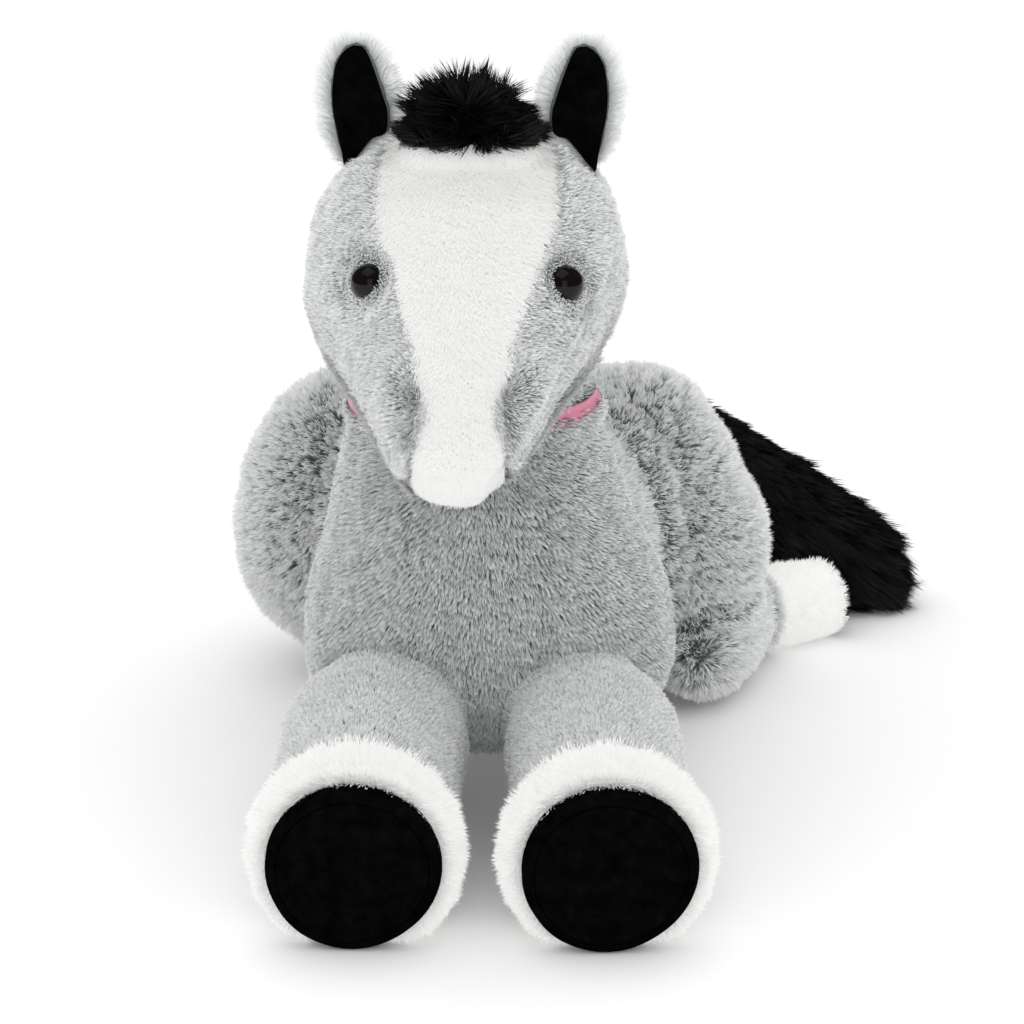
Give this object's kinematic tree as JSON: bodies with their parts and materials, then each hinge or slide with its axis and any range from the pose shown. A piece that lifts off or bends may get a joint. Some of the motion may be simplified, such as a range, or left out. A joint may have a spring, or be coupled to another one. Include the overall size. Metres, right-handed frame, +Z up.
{
  "type": "plush horse",
  "caption": "Stuffed plush horse lying on its belly with outstretched front legs, a turning head, folding ears, lifting front legs and a swinging tail.",
  "frame": {"origin": "on the floor, under the middle of the belly, in the flat of the trunk that the toy rests on", "axes": "+Z up, -Y the way the horse looks, +X to the right of a viewer who faces the horse"},
  "size_m": [0.3687, 0.5322, 0.375],
  "materials": {
    "grey_plush": "frosted short pile plush, blue-grey roots and pale tips",
    "white_plush": "white short pile plush",
    "white_long_pile": "white long pile plush",
    "black_long_pile": "black long pile plush, slightly glossy strands",
    "black_velour": "black short velour",
    "eye_plastic": "glossy moulded dome, dark brown to black",
    "washer_plastic": "moulded locking washer",
    "pink_ribbon": "woven satin ribbon",
    "fibre_fill": "polyester fibre filling"
  },
  "bodies": {
    "torso": {"chest_cover": "grey_plush", "chest_stuffing": "fibre_fill", "trunk_cover": "grey_plush", "trunk_stuffing": "fibre_fill", "neck_ribbon": "pink_ribbon", "mane_lower": "black_long_pile", "hind_leg_right_thigh_cover": "grey_plush", "hind_leg_right_thigh_stuffing": "fibre_fill", "hind_leg_right_shin_cover": "grey_plush", "hind_leg_right_shin_stuffing": "fibre_fill", "hind_leg_right_sock": "white_long_pile", "hind_leg_right_hoof": "black_velour", "hind_leg_left_thigh_cover": "grey_plush", "hind_leg_left_thigh_stuffing": "fibre_fill", "hind_leg_left_shin_cover": "grey_plush", "hind_leg_left_shin_stuffing": "fibre_fill", "hind_leg_left_sock": "white_long_pile", "hind_leg_left_hoof": "black_velour"},
    "head": {"head_cover": "grey_plush", "face_blaze": "white_plush", "head_stuffing": "fibre_fill", "eye_left": "eye_plastic", "eye_left_washer": "washer_plastic", "eye_right": "eye_plastic", "eye_right_washer": "washer_plastic", "forelock": "black_long_pile", "mane_upper": "black_long_pile"},
    "ear_left": {"ear_left_back": "grey_plush", "ear_left_lining": "black_velour"},
    "ear_right": {"ear_right_back": "grey_plush", "ear_right_lining": "black_velour"},
    "front_leg_left": {"front_leg_left_cover": "grey_plush", "front_leg_left_stuffing": "fibre_fill", "front_leg_left_sock": "white_long_pile", "front_leg_left_hoof_band": "black_velour", "front_leg_left_hoof_sole": "black_velour"},
    "front_leg_right": {"front_leg_right_cover": "grey_plush", "front_leg_right_stuffing": "fibre_fill", "front_leg_right_sock": "white_long_pile", "front_leg_right_hoof_band": "black_velour", "front_leg_right_hoof_sole": "black_velour"},
    "tail": {"tail_pile": "black_long_pile"}
  },
  "joints": [
    {"name": "neck_turn", "type": "hinge", "parent": "torso", "child": "head", "pos_m": [-0.012, -0.131, 0.2], "axis": [0, 0, 1], "range_deg": [-20, 20], "stiffness_Nm_per_rad": 0.5},
    {"name": "ear_left_fold", "type": "hinge", "parent": "head", "child": "ear_left", "pos_m": [-0.071, -0.13819, 0.31518], "axis": [0.8988, 0, 0.4384], "range_deg": [-15, 15], "stiffness_Nm_per_rad": 0.02},
    {"name": "ear_right_fold", "type": "hinge", "parent": "head", "child": "ear_right", "pos_m": [0.047, -0.13819, 0.31518], "axis": [0.8988, 0, -0.4384], "range_deg": [-15, 15], "stiffness_Nm_per_rad": 0.02},
    {"name": "front_leg_left_lift", "type": "hinge", "parent": "torso", "child": "front_leg_left", "pos_m": [-0.055, -0.199, 0.0439], "axis": [-1, 0, 0], "range_deg": [0, 20], "stiffness_Nm_per_rad": 0.3},
    {"name": "front_leg_right_lift", "type": "hinge", "parent": "torso", "child": "front_leg_right", "pos_m": [0.047, -0.199, 0.0439], "axis": [-1, 0, 0], "range_deg": [0, 20], "stiffness_Nm_per_rad": 0.3},
    {"name": "tail_swing", "type": "hinge", "parent": "torso", "child": "tail", "pos_m": [0, 0.1056, 0.146], "axis": [0, 0, 1], "range_deg": [0, 60], "stiffness_Nm_per_rad": 0.05}
  ]
}
